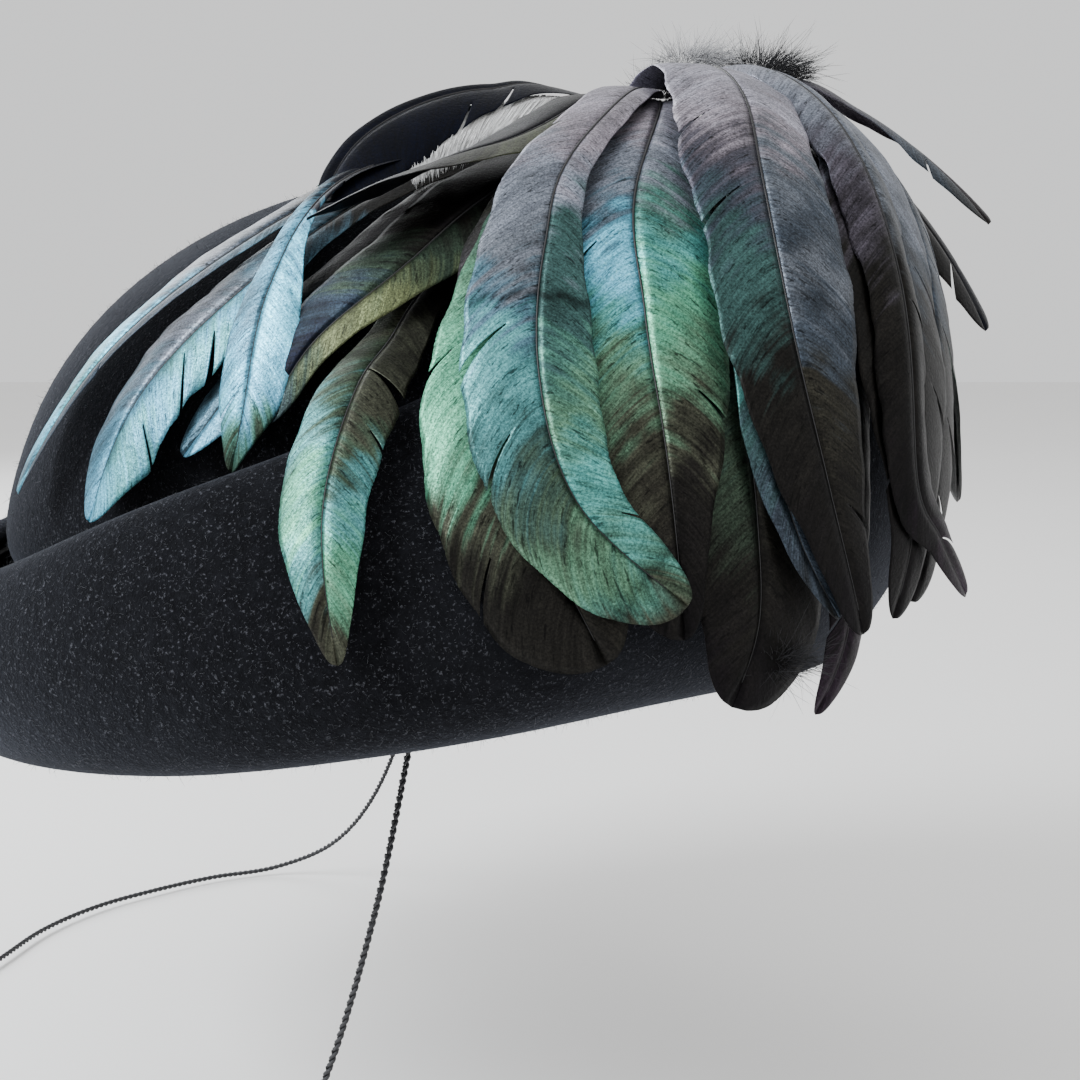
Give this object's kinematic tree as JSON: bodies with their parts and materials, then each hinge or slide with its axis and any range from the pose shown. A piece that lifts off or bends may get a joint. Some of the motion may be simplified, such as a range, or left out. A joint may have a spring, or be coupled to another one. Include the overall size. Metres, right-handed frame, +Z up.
{
  "type": "fascinator headpiece",
  "caption": "Black felt fascinator with a rolled asymmetric brim, a fan of iridescent feathers and a thin elastic loop, worn tilted on the head.",
  "frame": {"origin": "centre of the head opening, in the plane of the opening's edge", "axes": "+Z up through the crown, -Y the side with the tall brim, +X towards the side on which the feathers are tied"},
  "size_m": [0.2785, 0.2281, 0.2474],
  "materials": {
    "felt": "black wool felt, lightly brushed nap",
    "wire": "black paper-covered millinery wire",
    "lining": "black acetate lining, low sheen",
    "ribbon": "black grosgrain ribbon",
    "elastic": "black braided hat elastic",
    "thread": "black waxed thread",
    "pale_down": "grey-white down",
    "dark_down": "black down",
    "coque": "iridescent cock-tail feather, mauve, cyan, green and bronze by angle"
  },
  "bodies": {
    "root": {"felt_crown": "felt", "felt_brim": "felt", "brim_edge_wire": "wire", "crown_lining": "lining", "petersham_band": "ribbon", "elastic_cord": "elastic", "elastic_tack_front": "thread", "elastic_tack_back": "thread", "feather_pad": "felt", "quill_binding": "thread", "down_tuft_pale": "pale_down", "down_tuft_dark": "dark_down", "feather_front_01": "coque", "feather_front_02": "coque", "feather_front_03": "coque", "feather_front_04": "coque", "feather_front_05": "coque", "feather_front_06": "coque", "feather_front_07": "coque", "feather_left_01": "coque", "feather_left_02": "coque", "feather_left_03": "coque", "feather_left_04": "coque", "feather_left_05": "coque", "feather_left_06": "coque", "feather_left_07": "coque", "feather_left_08": "coque", "feather_right_01": "coque", "feather_right_02": "coque", "feather_right_03": "coque", "feather_right_04": "coque", "feather_right_05": "coque", "feather_right_06": "coque", "feather_right_07": "coque", "feather_right_08": "coque", "feather_back_01": "coque", "feather_back_02": "coque", "feather_back_03": "coque", "feather_back_04": "coque", "feather_back_05": "coque", "feather_back_06": "coque", "feather_back_07": "coque", "feather_back_08": "coque"}
  },
  "joints": []
}
